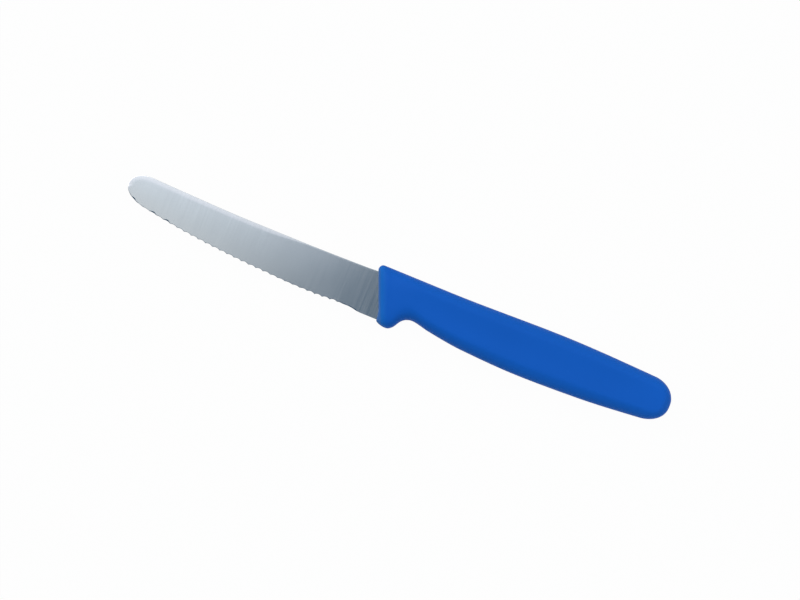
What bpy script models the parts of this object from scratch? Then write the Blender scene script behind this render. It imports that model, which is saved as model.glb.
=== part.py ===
"""Breakfast knife at its real size, in metres, +Z up.

Two pieces: a stamped steel blade with a wavy edge and a hidden tang, and a plastic handle that is
moulded round the tang. Plastic pegs pass through the holes of the tang and lock the two together.

The knife lies flat on the right side of its handle, as it would on a table. +X runs from the blade's
tip to the handle's butt and +Y from the cutting edge to the spine. The outlines are drawn about the
knife's axis, from the middle of the handle's front, and the whole is then moved so that the origin is
the centre of its footprint on the table.
"""

import math

import bmesh
import bpy
from mathutils import Vector

# Blade, seen from its side
BLADE_LENGTH = 0.1024
HEEL_SPINE = 0.00875
HEEL_EDGE = 0.0083
TIP_HEIGHT = 0.0037
TIP_ROUND_LENGTH = 0.0084
TIP_SPINE_POWER = 2.0
TIP_EDGE_POWER = 2.6

# Heights of the spine and of the edge at shares of the blade's length, counted from the handle
SPINE_CURVE = ((0.08, 0.00842), (0.37, 0.00795), (0.55, 0.0079), (0.83, 0.0086), (0.92, 0.00895))
EDGE_CURVE = (
    (0.04, -0.0082),
    (0.09, -0.0076),
    (0.22, -0.00815),
    (0.46, -0.0076),
    (0.60, -0.0067),
    (0.74, -0.0053),
    (0.92, -0.00245),
    (1.00, -0.0006),
)

# Blade, across its thickness
BLADE_THICKNESS = 0.0012
HEEL_EDGE_STOCK = 0.00046
TIP_STOCK = 0.00064
TAPER_MARGIN = 0.0010
TAPER_BLEND = 0.0040

# Wavy edge, ground from the right side only
TOOTH_PITCH = 0.0030
TOOTH_DEPTH = 0.00048
PLAIN_HEEL = 0.01045
PLAIN_TIP = 0.0022
EDGE_THICKNESS = 0.00010
GRIND_ANGLE = math.radians(11.5)
TOOTH_STEPS = 6
FADE_TEETH = 1.5
TIP_FADE_TEETH = 11
TIP_DEPTH_SHARE = 0.15
LIGHT_STRETCH = 0.033
LIGHT_REACH = 0.012
LIGHT_DEPTH_SHARE = 0.5

# Tang and its lock holes
SHOULDER_DEPTH = 0.0042
SHOULDER_FILLET = 0.0018
TANG_CENTRE = 0.0034
TANG_LENGTH = 0.078
TANG_ROOT_WIDTH = 0.0092
TANG_END_WIDTH = 0.0070
LOCK_HOLE_RADIUS = 0.0022
LOCK_HOLE_PITCH = 0.021
LOCK_HOLE_COUNT = 3
LOCK_HOLE_END_MARGIN = 0.0095

# Handle, seen from its side
HANDLE_LENGTH = 0.1161
FRONT_SLANT = math.radians(22.3)
FRONT_LIP = 0.00045
EDGE_LIP = 0.0002
TOE_LENGTH = 0.00095
TOE_HEIGHT = 0.0045
TOE_POWER = 1.7
TOE_HALF_THICKNESS = 0.0046
TOP_COVER = 0.00275
TOP_CORNER_LENGTH = 0.0016
HUMP_POSITION = 0.075
HUMP_RISE = 0.00105
REAR_TOP_DROP = 0.00145
GUARD_COVER = 0.00185
GUARD_POSITION = 0.0059
GUARD_CORNER_LENGTH = 0.0036
GUARD_CORNER_POWER = 1.5
RECESS_COVER = 0.00255
RECESS_POSITION = 0.0149
BELLY_POSITION = 0.060
BELLY_DROP = 0.00768
REAR_BELLY_RISE = 0.0036
BUTT_HEIGHT = 0.0030
BUTT_ROUND_LENGTH = 0.0090
BUTT_TOP_POWER = 2.1
BUTT_BELLY_POWER = 2.25

# Handle, across its thickness
HANDLE_THICKNESS = 0.012
FRONT_THICKNESS = 0.0106
FRONT_ROUND_LENGTH = 0.0036
SWELL_LENGTH = 0.020
BUTT_ROUND_THICKNESS_LENGTH = 0.0065
TOP_FLATNESS = 3.4
BELLY_FLATNESS = 2.9
EDGE_ROUNDNESS = 2.2
LIP_SQUARENESS = 9.0
FRONT_CORE = 0.1
SIDE_CROWN = 0.0005
SIDE_BLEND = 0.00025

# Clearance between the moulded handle and the steel it is cast round
SEAT_GAP = 0.0003

# Mesh fineness
RING_SEGMENTS = 48
OUTLINE_SAMPLES = 600
FRONT_STATIONS = 8
GUARD_STATION_STEP = 0.0010
GRIP_STATION_STEP = 0.0040
BUTT_STATIONS = 10
HOLE_SEGMENTS = 32

STEEL_COLOUR = (0.60, 0.62, 0.65, 1.0)
PLASTIC_COLOUR = (0.010, 0.098, 0.47, 1.0)


def lerp(first, second, share):
    return first + (second - first) * share


def clamp(value, low=0.0, high=1.0):
    return max(low, min(high, value))


def ease(share):
    """Smooth step from 0 to 1."""
    share = clamp(share)
    return share * share * (3 - 2 * share)


def round_off(share, power):
    """Height of a superellipse quarter: 1 at share 0, 0 at share 1."""
    return (1 - clamp(share) ** power) ** (1 / power)


def soft_limit(value, limit, blend):
    """value with its size held to limit, easing over within blend of it."""
    near = max(blend - abs(abs(value) - limit), 0.0)
    return math.copysign(min(abs(value), limit) - near * near / (4 * blend), value)


def signed_power(value, power):
    return math.copysign(abs(value) ** power, value)


def smooth_line(keys, x):
    """Height at x of a smooth curve through keys, sorted by x, that never swings past a key."""
    if x <= keys[0][0]:
        return keys[0][1]
    if x >= keys[-1][0]:
        return keys[-1][1]
    spans = [right[0] - left[0] for left, right in zip(keys, keys[1:])]
    rises = [(right[1] - left[1]) / span for left, right, span in zip(keys, keys[1:], spans)]
    slopes = [rises[0]]
    for before, after in zip(rises, rises[1:]):
        slopes.append(2 * before * after / (before + after) if before * after > 0 else 0.0)
    slopes.append(rises[-1])
    i = next(n for n, key in enumerate(keys[1:]) if x <= key[0])
    share = (x - keys[i][0]) / spans[i]
    straight = lerp(keys[i][1], keys[i + 1][1], ease(share))
    bend_left = share * (1 - share) ** 2 * slopes[i]
    bend_right = share**2 * (share - 1) * slopes[i + 1]
    return straight + spans[i] * (bend_left + bend_right)


def front_x(height):
    """Where the slanted front of the handle stands at a height above the axis."""
    return -height * math.tan(FRONT_SLANT)


# Blade outline


def spine_height(x):
    keys = [(-share * BLADE_LENGTH, height) for share, height in reversed(SPINE_CURVE)]
    keys.append((front_x(HEEL_SPINE), HEEL_SPINE))
    height = smooth_line(keys, x)
    share = (-x - (BLADE_LENGTH - TIP_ROUND_LENGTH)) / TIP_ROUND_LENGTH
    return lerp(TIP_HEIGHT, height, round_off(share, TIP_SPINE_POWER))


def edge_height(x):
    keys = [(-share * BLADE_LENGTH, height) for share, height in reversed(EDGE_CURVE)]
    keys.append((front_x(-HEEL_EDGE), -HEEL_EDGE))
    height = smooth_line(keys, x)
    share = (-x - (BLADE_LENGTH - TIP_ROUND_LENGTH)) / TIP_ROUND_LENGTH
    return lerp(TIP_HEIGHT, height, round_off(share, TIP_EDGE_POWER))


def blade_side(height_at, heel_x):
    """Fine polyline along the spine or the edge, from the heel to the tip."""
    points = []
    for i in range(OUTLINE_SAMPLES + 1):
        share = math.sin(i / OUTLINE_SAMPLES * math.pi / 2)
        x = lerp(heel_x, -BLADE_LENGTH, share)
        points.append(Vector((x, height_at(x))))
    return points


def path_lengths(points):
    lengths = [0.0]
    for before, after in zip(points, points[1:]):
        lengths.append(lengths[-1] + (after - before).length)
    return lengths


def point_along(points, lengths, distance):
    i = next((n for n, length in enumerate(lengths) if length >= distance), len(points) - 1)
    if i == 0:
        return points[0].copy()
    share = (distance - lengths[i - 1]) / max(lengths[i] - lengths[i - 1], 1e-9)
    return points[i - 1].lerp(points[i], clamp(share))


def even_points(points, lengths, start, end, count):
    """count points from start up to, but not including, end, at equal steps along the path."""
    return [point_along(points, lengths, lerp(start, end, i / count)) for i in range(count)]


class Station:
    """One place on the blade's outline: its point, its depth of tooth and its share of sharpening."""

    def __init__(self, point, wave=0.0, sharp=0.0):
        self.point = point
        self.wave = wave
        self.sharp = sharp
        self.inward = Vector((0.0, 0.0))


def toothed_stations(points, lengths, start, teeth):
    """The wavy stretch: arcs between pointed teeth. They fade out at the heel and get shallow at the tip.

    In one stretch the grinding is lighter, as on the real edge."""
    stations = []
    for i in range(teeth * TOOTH_STEPS):
        tooth = i / TOOTH_STEPS
        across = 2 * (tooth % 1.0) - 1
        ground = ease(min(tooth, teeth - tooth) / FADE_TEETH)
        depth = ground * lerp(1.0, TIP_DEPTH_SHARE, ease(1 - (teeth - tooth) / TIP_FADE_TEETH))
        place = point_along(points, lengths, start + tooth * TOOTH_PITCH)
        depth *= lerp(LIGHT_DEPTH_SHARE, 1.0, ease(abs(place.x + LIGHT_STRETCH) / LIGHT_REACH))
        stations.append(Station(place, wave=(1 - across**2) * depth, sharp=ground))
    return stations


def tang_points():
    """The hidden part of the blank, from the spine's shoulder round the tang to the edge's shoulder."""
    root_top = TANG_CENTRE + TANG_ROOT_WIDTH / 2
    root_bottom = TANG_CENTRE - TANG_ROOT_WIDTH / 2
    end_radius = TANG_END_WIDTH / 2
    fillet = SHOULDER_FILLET

    def shoulder_x(height):
        return front_x(height) + SHOULDER_DEPTH

    points = [Vector((shoulder_x(HEEL_SPINE) - fillet, HEEL_SPINE))]
    points.append(Vector((shoulder_x(HEEL_SPINE) - fillet * 0.3, HEEL_SPINE - fillet * 0.08)))
    corner_bottom = Vector((shoulder_x(-HEEL_EDGE), -HEEL_EDGE))
    end_centre = Vector((TANG_LENGTH - end_radius, TANG_CENTRE))
    points.append(Vector((shoulder_x(HEEL_SPINE), root_top)))
    for i in range(9):
        angle = math.pi / 2 - i / 8 * math.pi
        points.append(end_centre + end_radius * Vector((math.cos(angle), math.sin(angle))))
    root = Vector((shoulder_x(root_bottom) + fillet, root_bottom))
    corner = Vector((shoulder_x(root_bottom), root_bottom))
    down = (corner_bottom - corner).normalized()
    for i in range(5):
        share = i / 4
        points.append(root.lerp(corner, share).lerp(corner.lerp(corner + down * fillet, share), share))
    for i in range(5):
        share = i / 4
        low_start = corner_bottom - down * fillet
        low_end = corner_bottom - Vector((fillet, 0.0))
        points.append(low_start.lerp(corner_bottom, share).lerp(corner_bottom.lerp(low_end, share), share))
    return points


def blade_stations(toothed):
    """Every station round the blade and its tang, starting at the heel of the edge."""
    heel_x = front_x(-HEEL_EDGE)
    edge = blade_side(edge_height, heel_x)
    edge_lengths = path_lengths(edge)
    spine = blade_side(spine_height, front_x(HEEL_SPINE))
    spine_lengths = path_lengths(spine)
    start = next(length for point, length in zip(edge, edge_lengths) if point.x <= -PLAIN_HEEL)
    teeth = int((edge_lengths[-1] - PLAIN_TIP - start) / TOOTH_PITCH)
    end = start + teeth * TOOTH_PITCH
    stations = [Station(p) for p in even_points(edge, edge_lengths, 0.0, start, 8)]
    if toothed:
        stations += toothed_stations(edge, edge_lengths, start, teeth)
    else:
        stations += [Station(p) for p in even_points(edge, edge_lengths, start, end, 40)]
    stations += [Station(p) for p in even_points(edge, edge_lengths, end, edge_lengths[-1], 8)]
    tip_arc = spine_lengths[-1] - TIP_ROUND_LENGTH
    stations += [Station(p) for p in even_points(spine, spine_lengths, spine_lengths[-1], tip_arc, 14)]
    stations += [Station(p) for p in even_points(spine, spine_lengths, tip_arc, 0.0, 26)]
    stations += [Station(p) for p in tang_points()]
    for before, station, after in zip(stations[-1:] + stations, stations, stations[1:] + stations[:1]):
        along = (after.point - before.point).normalized()
        station.inward = Vector((along.y, -along.x))
    return stations


def taper_end():
    """Where the blade's flat taper stops: just behind the shoulders, so it is whole where it shows."""
    return front_x(-HEEL_EDGE) + SHOULDER_DEPTH + TAPER_MARGIN


def half_thickness(x, y):
    """Half the steel's thickness: a flat taper in the blade, full thickness in the tang."""
    slope_up = (BLADE_THICKNESS - HEEL_EDGE_STOCK) / 2 / (HEEL_SPINE + HEEL_EDGE)
    at_axis = BLADE_THICKNESS / 2 - slope_up * HEEL_SPINE
    slope_along = (at_axis + slope_up * TIP_HEIGHT - TIP_STOCK / 2) / BLADE_LENGTH
    ground = at_axis + slope_up * y + slope_along * x
    return lerp(ground, BLADE_THICKNESS / 2, clamp((x - taper_end()) / TAPER_BLEND))


def facet_width(station, edge_z):
    """How far up the right side the wavy grinding reaches before it runs out at the face."""
    slope = math.tan(GRIND_ANGLE)
    foot = station.point + station.inward * TOOTH_DEPTH * station.wave
    reach = 0.0
    for _ in range(4):
        at = foot + station.inward * reach
        reach = (edge_z + half_thickness(at.x, at.y)) / slope
    return reach


def blade_mesh(name, toothed=True, grow=0.0):
    """The blank with its tang. grow swells it all round, for the seat that it leaves in the plastic."""
    mesh = bmesh.new()
    face_inset = 0.0004
    stations = blade_stations(toothed)
    left_inner, left_rim, right_rim, right_inner = [], [], [], []
    for station in stations:
        rim = station.point + station.inward * (TOOTH_DEPTH * station.wave - grow)
        half = half_thickness(rim.x, rim.y) + grow
        inner = station.point + station.inward * (TOOTH_DEPTH * station.sharp + face_inset - grow)
        left_inner.append(mesh.verts.new((*inner, half_thickness(*inner) + grow)))
        left_rim.append(mesh.verts.new((*rim, half)))
        edge_z = lerp(-half, half - EDGE_THICKNESS, station.sharp)
        right_rim.append(mesh.verts.new((*rim, edge_z)))
        reach = max(face_inset, facet_width(station, edge_z) if station.sharp > 0 else 0.0)
        border = rim + station.inward * reach
        right_inner.append(mesh.verts.new((*border, -half_thickness(*border) - grow)))
    loops = (left_inner, left_rim, right_rim, right_inner)
    for inner, outer in zip(loops, loops[1:]):
        for i in range(len(stations)):
            j = i - 1
            mesh.faces.new((inner[j], inner[i], outer[i], outer[j]))
    mesh.faces.new(left_inner)
    mesh.faces.new(right_inner)
    for x in (taper_end(), taper_end() + TAPER_BLEND):
        everything = mesh.verts[:] + mesh.edges[:] + mesh.faces[:]
        bmesh.ops.bisect_plane(mesh, geom=everything, dist=1e-7, plane_co=(x, 0, 0), plane_no=(1, 0, 0))
    for vert in mesh.verts:
        if vert.co.x > taper_end() - 1e-6:
            vert.co.z = math.copysign(half_thickness(vert.co.x, vert.co.y) + grow, vert.co.z)
    bmesh.ops.recalc_face_normals(mesh, faces=mesh.faces)
    return finished(mesh, name)


# Handle


def top_height(x):
    """Upper outline of the handle: straight, then a low hump, then the round butt."""
    level = HEEL_SPINE + TOP_COVER
    keys = (
        (0.0, level),
        (HUMP_POSITION / 3, level),
        (HUMP_POSITION, level + HUMP_RISE),
        (HANDLE_LENGTH, level + HUMP_RISE - REAR_TOP_DROP),
    )
    height = smooth_line(keys, x)
    start = front_x(top_lip())
    corner = round_off(1 - (x - start) / TOP_CORNER_LENGTH, 2.0)
    height = lerp(top_lip(), height, corner)
    return lerp(BUTT_HEIGHT, height, butt_outline(x, BUTT_TOP_POWER))


def belly_height(x):
    """Lower outline of the handle: finger guard, finger recess, belly, then the round butt."""
    recess = TANG_CENTRE - TANG_ROOT_WIDTH / 2 - RECESS_COVER
    guard = -(HEEL_EDGE + GUARD_COVER)
    keys = (
        (GUARD_POSITION, guard),
        (lerp(GUARD_POSITION, RECESS_POSITION, 0.20), lerp(guard, recess, 0.05)),
        (lerp(GUARD_POSITION, RECESS_POSITION, 0.38), lerp(guard, recess, 0.26)),
        (lerp(GUARD_POSITION, RECESS_POSITION, 0.59), lerp(guard, recess, 0.70)),
        (lerp(GUARD_POSITION, RECESS_POSITION, 0.78), lerp(guard, recess, 0.95)),
        (RECESS_POSITION, recess),
        (lerp(RECESS_POSITION, BELLY_POSITION, 0.17), lerp(recess, -BELLY_DROP, 0.33)),
        (lerp(RECESS_POSITION, BELLY_POSITION, 0.50), lerp(recess, -BELLY_DROP, 0.79)),
        (BELLY_POSITION, -BELLY_DROP),
        (lerp(BELLY_POSITION, HANDLE_LENGTH, 0.42), -BELLY_DROP + REAR_BELLY_RISE * 0.213),
        (HANDLE_LENGTH, -BELLY_DROP + REAR_BELLY_RISE),
    )
    height = smooth_line(keys, x)
    start = front_x(-bottom_lip())
    corner = round_off(1 - (x - start) / GUARD_CORNER_LENGTH, GUARD_CORNER_POWER)
    height = lerp(-bottom_lip(), height, corner)
    return lerp(BUTT_HEIGHT, height, butt_outline(x, BUTT_BELLY_POWER))


def guard_bottom():
    """Lowest point of the finger guard, just behind the guard's front corner."""
    return min(belly_height(GUARD_POSITION + i / 10 * GUARD_CORNER_LENGTH) for i in range(10))


def top_lip():
    """Height of the handle's front lip over the blade's spine."""
    return HEEL_SPINE + SEAT_GAP + FRONT_LIP


def bottom_lip():
    return HEEL_EDGE + SEAT_GAP + EDGE_LIP


def butt_outline(x, power):
    return round_off((x - (HANDLE_LENGTH - BUTT_ROUND_LENGTH)) / BUTT_ROUND_LENGTH, power)


def handle_half(from_front, from_butt):
    """Half the handle's thickness behind its round front, before its sides are flattened."""
    full = HANDLE_THICKNESS / 2 + SIDE_CROWN
    half = lerp(FRONT_THICKNESS / 2, full, ease(from_front / SWELL_LENGTH))
    return half * round_off(1 - from_butt / BUTT_ROUND_THICKNESS_LENGTH, EDGE_ROUNDNESS)


def handle_stations():
    """Distances from the front: close together at the front, the guard and the butt."""
    length = HANDLE_LENGTH - front_x(-bottom_lip())
    turns = [i / FRONT_STATIONS * math.pi / 2 for i in range(FRONT_STATIONS)]
    places = [FRONT_ROUND_LENGTH * (1 - math.cos(turn)) for turn in turns]
    guard_end = RECESS_POSITION + GUARD_STATION_STEP
    steps = round((guard_end - FRONT_ROUND_LENGTH) / GUARD_STATION_STEP)
    places += [lerp(FRONT_ROUND_LENGTH, guard_end, i / steps) for i in range(steps)]
    grip_end = length - BUTT_ROUND_LENGTH
    steps = round((grip_end - guard_end) / GRIP_STATION_STEP)
    places += [lerp(guard_end, grip_end, i / steps) for i in range(steps)]
    for i in range(BUTT_STATIONS):
        places.append(grip_end + BUTT_ROUND_LENGTH * math.sin(i / (BUTT_STATIONS - 0.5) * math.pi / 2))
    return [place / length for place in places]


def handle_ring(share):
    """The closed section at a share of the handle's length, as points in order round it."""
    start_top = front_x(top_lip())
    start_bottom = front_x(-bottom_lip())
    top_x = lerp(start_top, HANDLE_LENGTH, share)
    bottom_x = lerp(start_bottom, HANDLE_LENGTH, share)
    top = Vector((top_x, top_height(top_x)))
    bottom = Vector((bottom_x, belly_height(bottom_x)))
    from_front = bottom_x - start_bottom
    lip_half = BLADE_THICKNESS / 2 + SEAT_GAP + FRONT_LIP
    body_half = handle_half(from_front, HANDLE_LENGTH - top_x)
    swollen = round_off(1 - from_front / FRONT_ROUND_LENGTH, EDGE_ROUNDNESS)
    forward = 1 - ease(from_front / FRONT_ROUND_LENGTH)
    ring = []
    for i in range(RING_SEGMENTS):
        rise = math.cos(2 * math.pi * i / RING_SEGMENTS)
        turn = math.sin(2 * math.pi * i / RING_SEGMENTS)
        flatness = TOP_FLATNESS if rise > 0 else BELLY_FLATNESS
        up = lerp(signed_power(rise, 2 / LIP_SQUARENESS), signed_power(rise, 2 / flatness), swollen)
        lip = lip_half * signed_power(turn, 2 / LIP_SQUARENESS)
        side = lerp(lip, body_half * signed_power(turn, 2 / EDGE_ROUNDNESS), swollen)
        side = soft_limit(side, HANDLE_THICKNESS / 2, SIDE_BLEND)
        place = bottom.lerp(top, (up + 1) / 2)
        toe = clamp(1 - (HEEL_EDGE + place.y) / TOE_HEIGHT) ** TOE_POWER
        toe *= ease(1 - abs(side) / TOE_HALF_THICKNESS)
        place.x -= TOE_LENGTH * toe * forward
        ring.append(Vector((place.x, place.y, side)))
    return ring


def handle_mesh(name):
    """The outer shape of the handle, lofted through its sections and closed at both ends.

    Its front face is divided inside the blade's seat, so that it follows the toe on both sides."""
    mesh = bmesh.new()
    sections = [handle_ring(share) for share in handle_stations()]
    core = [Vector((point.x, point.y, point.z * FRONT_CORE)) for point in sections[0]]
    rings = [[mesh.verts.new(point) for point in section] for section in [core] + sections]
    for here, there in zip(rings, rings[1:]):
        for i in range(RING_SEGMENTS):
            mesh.faces.new((here[i - 1], here[i], there[i], there[i - 1]))
    mesh.faces.new(rings[0])
    mesh.faces.new(rings[-1])
    bmesh.ops.recalc_face_normals(mesh, faces=mesh.faces)
    return finished(mesh, name)


# Scene


def finished(mesh, name):
    data = bpy.data.meshes.new(name)
    mesh.to_mesh(data)
    mesh.free()
    data.shade_smooth()
    data.set_sharp_from_angle(angle=math.radians(20))
    return data


def material(name, colour, roughness, metallic):
    made = bpy.data.materials.new(name)
    made.use_nodes = True
    shader = made.node_tree.nodes["Principled BSDF"]
    shader.inputs["Base Color"].default_value = colour
    shader.inputs["Roughness"].default_value = roughness
    shader.inputs["Metallic"].default_value = metallic
    return made


def add_object(name, mesh, parent, finish=None):
    made = bpy.data.objects.new(name, mesh)
    bpy.context.scene.collection.objects.link(made)
    made.parent = parent
    if finish:
        made.data.materials.append(finish)
    else:
        made.hide_render = True
        made.display_type = "WIRE"
    return made


def cut(target, cutter):
    modifier = target.modifiers.new(f"cut_{cutter.name}", "BOOLEAN")
    modifier.operation = "DIFFERENCE"
    modifier.solver = "EXACT"
    modifier.object = cutter


def lock_hole_places():
    """Centres of the lock holes along the tang, counted back from its end."""
    last = TANG_LENGTH - LOCK_HOLE_END_MARGIN
    return [(last - LOCK_HOLE_PITCH * i, TANG_CENTRE) for i in range(LOCK_HOLE_COUNT)]


def pins(name, radius, parent):
    """One cutter that holds a round pin at every lock hole."""
    mesh = bmesh.new()
    for x, y in lock_hole_places():
        made = bmesh.ops.create_cone(
            mesh,
            cap_ends=True,
            segments=HOLE_SEGMENTS,
            radius1=radius,
            radius2=radius,
            depth=BLADE_THICKNESS * 4,
        )
        bmesh.ops.translate(mesh, verts=made["verts"], vec=(x, y, 0))
    return add_object(name, finished(mesh, name), parent)


def main():
    for old in list(bpy.data.objects):
        bpy.data.objects.remove(old, do_unlink=True)
    frame = bpy.data.objects.new("knife_frame", None)
    bpy.context.scene.collection.objects.link(frame)
    top = HEEL_SPINE + TOP_COVER + HUMP_RISE
    frame.location = (
        (BLADE_LENGTH - HANDLE_LENGTH) / 2,
        -(top + guard_bottom()) / 2,
        HANDLE_THICKNESS / 2,
    )

    steel = material("brushed_steel", STEEL_COLOUR, 0.28, 1.0)
    plastic = material("blue_plastic", PLASTIC_COLOUR, 0.42, 0.0)

    blade = add_object("blade", blade_mesh("blade"), frame, steel)
    cut(blade, pins("lock_hole_cutter", LOCK_HOLE_RADIUS, frame))

    seat = add_object("seat_cutter", blade_mesh("seat_cutter", toothed=False, grow=SEAT_GAP), frame)
    cut(seat, pins("lock_peg_cutter", LOCK_HOLE_RADIUS - SEAT_GAP, frame))
    handle = add_object("handle", handle_mesh("handle"), frame, plastic)
    cut(handle, seat)


main()
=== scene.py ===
"""Breakfast knife, dressed for a product picture: a wavy-edged steel blade in a moulded plastic handle.

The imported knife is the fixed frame. Every size here is in metres. Shapes are drawn about the knife's
axis, from the middle of the handle's front, with +X towards the butt, +Y towards the spine and +Z out of
the blade's left face, and are then moved to where the frame has them.
"""

import math

import bmesh
import bpy
from bpy.props import FloatProperty, FloatVectorProperty, IntProperty, PointerProperty
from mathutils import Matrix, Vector


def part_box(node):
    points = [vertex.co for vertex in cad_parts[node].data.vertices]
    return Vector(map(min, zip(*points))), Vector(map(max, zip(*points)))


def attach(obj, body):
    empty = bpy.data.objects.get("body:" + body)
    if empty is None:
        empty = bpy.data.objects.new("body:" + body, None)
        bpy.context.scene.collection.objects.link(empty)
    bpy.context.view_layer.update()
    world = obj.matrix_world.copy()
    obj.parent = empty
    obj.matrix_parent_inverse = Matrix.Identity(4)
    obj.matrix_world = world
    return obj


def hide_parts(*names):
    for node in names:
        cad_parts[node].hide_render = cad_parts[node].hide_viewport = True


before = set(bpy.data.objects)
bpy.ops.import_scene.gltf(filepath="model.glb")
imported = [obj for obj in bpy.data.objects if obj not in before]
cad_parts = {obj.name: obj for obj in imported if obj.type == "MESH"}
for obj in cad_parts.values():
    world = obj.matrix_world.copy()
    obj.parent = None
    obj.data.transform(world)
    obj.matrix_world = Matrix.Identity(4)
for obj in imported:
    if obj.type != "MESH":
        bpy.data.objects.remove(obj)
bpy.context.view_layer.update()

bl_info = {
    "name": "Breakfast Knife",
    "version": (1, 0, 0),
    "blender": (4, 5, 0),
    "location": "View3D > Sidebar > Knife",
    "description": "Models a breakfast knife with a wavy edge and a moulded handle, on its own stage",
    "category": "Add Mesh",
}

BLADE_LOW, BLADE_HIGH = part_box("blade")
HANDLE_LOW, HANDLE_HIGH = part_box("handle")

# Blade, seen from its side: heights at shares of its length, counted from the handle
BLADE_LENGTH = 0.1024
HEEL_SPINE = 0.00875
HEEL_EDGE = 0.0083
TIP_HEIGHT = 0.00385
TIP_ROUND_LENGTH = 0.0084
TIP_SPINE_POWER = 2.35
TIP_EDGE_POWER = 2.5
SPINE_CURVE = ((0.08, 0.0085), (0.37, 0.00802), (0.55, 0.00798), (0.83, 0.00863), (0.92, 0.00895))
EDGE_CURVE = (
    (0.04, -0.0083),
    (0.09, -0.0076),
    (0.22, -0.00825),
    (0.46, -0.0076),
    (0.60, -0.0067),
    (0.74, -0.0053),
    (0.92, -0.00245),
    (1.00, -0.0006),
)

# Stretch of the edge where the hollows are shallow, as a distance from the handle and a reach both ways
LIGHT_STRETCH = 0.033
LIGHT_REACH = 0.012
LIGHT_DEPTH = 0.5

# Sharpening: where it starts, how fast it sets in, and the teeth over which the hollows set in and end
SHARP_START = 0.0047
SHARP_BLEND = 0.0008
FADE_TEETH = 1.5

# Shares of the honed bevel: at the heel, at the teeth, in most hollows, and in those, counted from the tip,
# that are honed more strongly
HEEL_HONE = 1.9
TOOTH_HONE = 1.2
WEAK_HONE = 0.7
STRONG_HONE = 2.9
STRONGLY_HONED = (1, 2, 5, 7)

# Tang and its lock holes. The spine's shoulder turns at one point, given in shares of the fillet
SHOULDER_DEPTH = 0.0042
SHOULDER_FILLET = 0.0018
SPINE_SHOULDER_TURN = (0.3, 0.08)
TAPER_MARGIN = 0.0010
TAPER_BLEND = 0.0040
TANG_CENTRE = 0.0034
TANG_END = BLADE_HIGH.x - BLADE_LOW.x - BLADE_LENGTH
TANG_ROOT_WIDTH = 0.0092
TANG_END_WIDTH = 0.0070
LOCK_HOLE_RADIUS = 0.0022
LOCK_HOLE_PITCH = 0.021
LOCK_HOLE_COUNT = 3
LOCK_HOLE_END_MARGIN = 0.0095
PIN_LENGTH = 0.005
PIN_SEGMENTS = 48

# Steps along the blade's outline
HEEL_STEPS = 40
BLANK_EDGE_STEPS = 60
TIP_EDGE_STEPS = 30
TIP_ARC_STEPS = 48
SPINE_STEPS = 120
TANG_END_STEPS = 16
FILLET_STEPS = 6

# Points across the steel, from the left face to the right: shares of the rim, turns of its corner, and
# climbs up a hollow, where 1 is the hollow's border and None lies on the flat face beyond it
RIM_SHARES = (0.0, 0.12, 0.28, 0.48, 0.70, 0.90)
CORNER_TURNS = (0.0, 0.5, 1.0)
HOLLOW_CLIMBS = (0.0, 0.12, 0.30, 0.50, 0.70, 0.86, 1.0, 1.03, None)
BEVEL_LEVEL = len(RIM_SHARES)
LEFT_LEVELS = BEVEL_LEVEL + len(CORNER_TURNS)
BORDER_LEVEL = LEFT_LEVELS + HOLLOW_CLIMBS.index(1.0)

# Finish of the blade's faces and of its border
CROWN_FADE = 0.03
CELL_LENGTH = 0.0025
CELL_HEIGHT = CELL_LENGTH / 2
CELL_ROWS = 6
CORNER_RADIUS = 0.0001
PLAIN_RIM = 0.0005
HEEL_RIM = 0.15
RIM_POWER = 1.6
RIM_FADE_START = 0.052
RIM_FADE_LENGTH = 0.026
SHARP_FACE_INSET = 0.0010
HOLLOW_FACE_INSET = 0.0036
LEAST_SHARP = 0.05
GRAIN_SCALE = 10

# Handle, seen from its side
HANDLE_END = HANDLE_HIGH.x - BLADE_LOW.x - BLADE_LENGTH
FRONT_SLANT = math.radians(22.3)
FRONT_LIP = 0.00075
EDGE_LIP = 0.00016
LIP_TOP = HEEL_SPINE + FRONT_LIP
LIP_BOTTOM = -(HEEL_EDGE + EDGE_LIP)
TOE_LENGTH = 0.00095
TOE_HEIGHT = 0.0045
TOE_POWER = 1.7
TOE_HALF_THICKNESS = 0.0046
TOP_COVER = 0.00281
TOP_CORNER_LENGTH = 0.0016
TOP_CORNER_POWER = 2.0
HUMP_POSITION = 0.0725
HUMP_START = HUMP_POSITION / 3
HUMP_RISE = 0.00099
REAR_TOP_DROP = 0.00130
GUARD_COVER = 0.00185
GUARD_POSITION = 0.0058
GUARD_CORNER_LENGTH = 0.0036
GUARD_CORNER_POWER = 1.62
RECESS_COVER = 0.00259
RECESS_POSITION = 0.0149
BELLY_POSITION = 0.0575
BELLY_DROP = 0.00775
REAR_BELLY_RISE = 0.0036
BUTT_HEIGHT = 0.0030
BUTT_ROUND_LENGTH = 0.0090
BUTT_TOP_POWER = 2.1
BUTT_BELLY_POWER = 2.25

# Points between the turns of the handle's lower outline, as shares of the way along and of the way up
GUARD_TO_RECESS = ((0.20, 0.05), (0.38, 0.24), (0.59, 0.71), (0.78, 0.92))
RECESS_TO_BELLY = ((0.17, 0.34), (0.50, 0.79))
BELLY_TO_BUTT = ((0.42, 0.20),)

# Steps along the handle. At the butt they span a little less than the whole round, up to a small flat
FRONT_STEPS = 18
GUARD_STEPS = 34
GUARD_REACH = 0.004
GRIP_STEPS = 70
BUTT_STEPS = 25
BUTT_SPAN = 24.4

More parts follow.
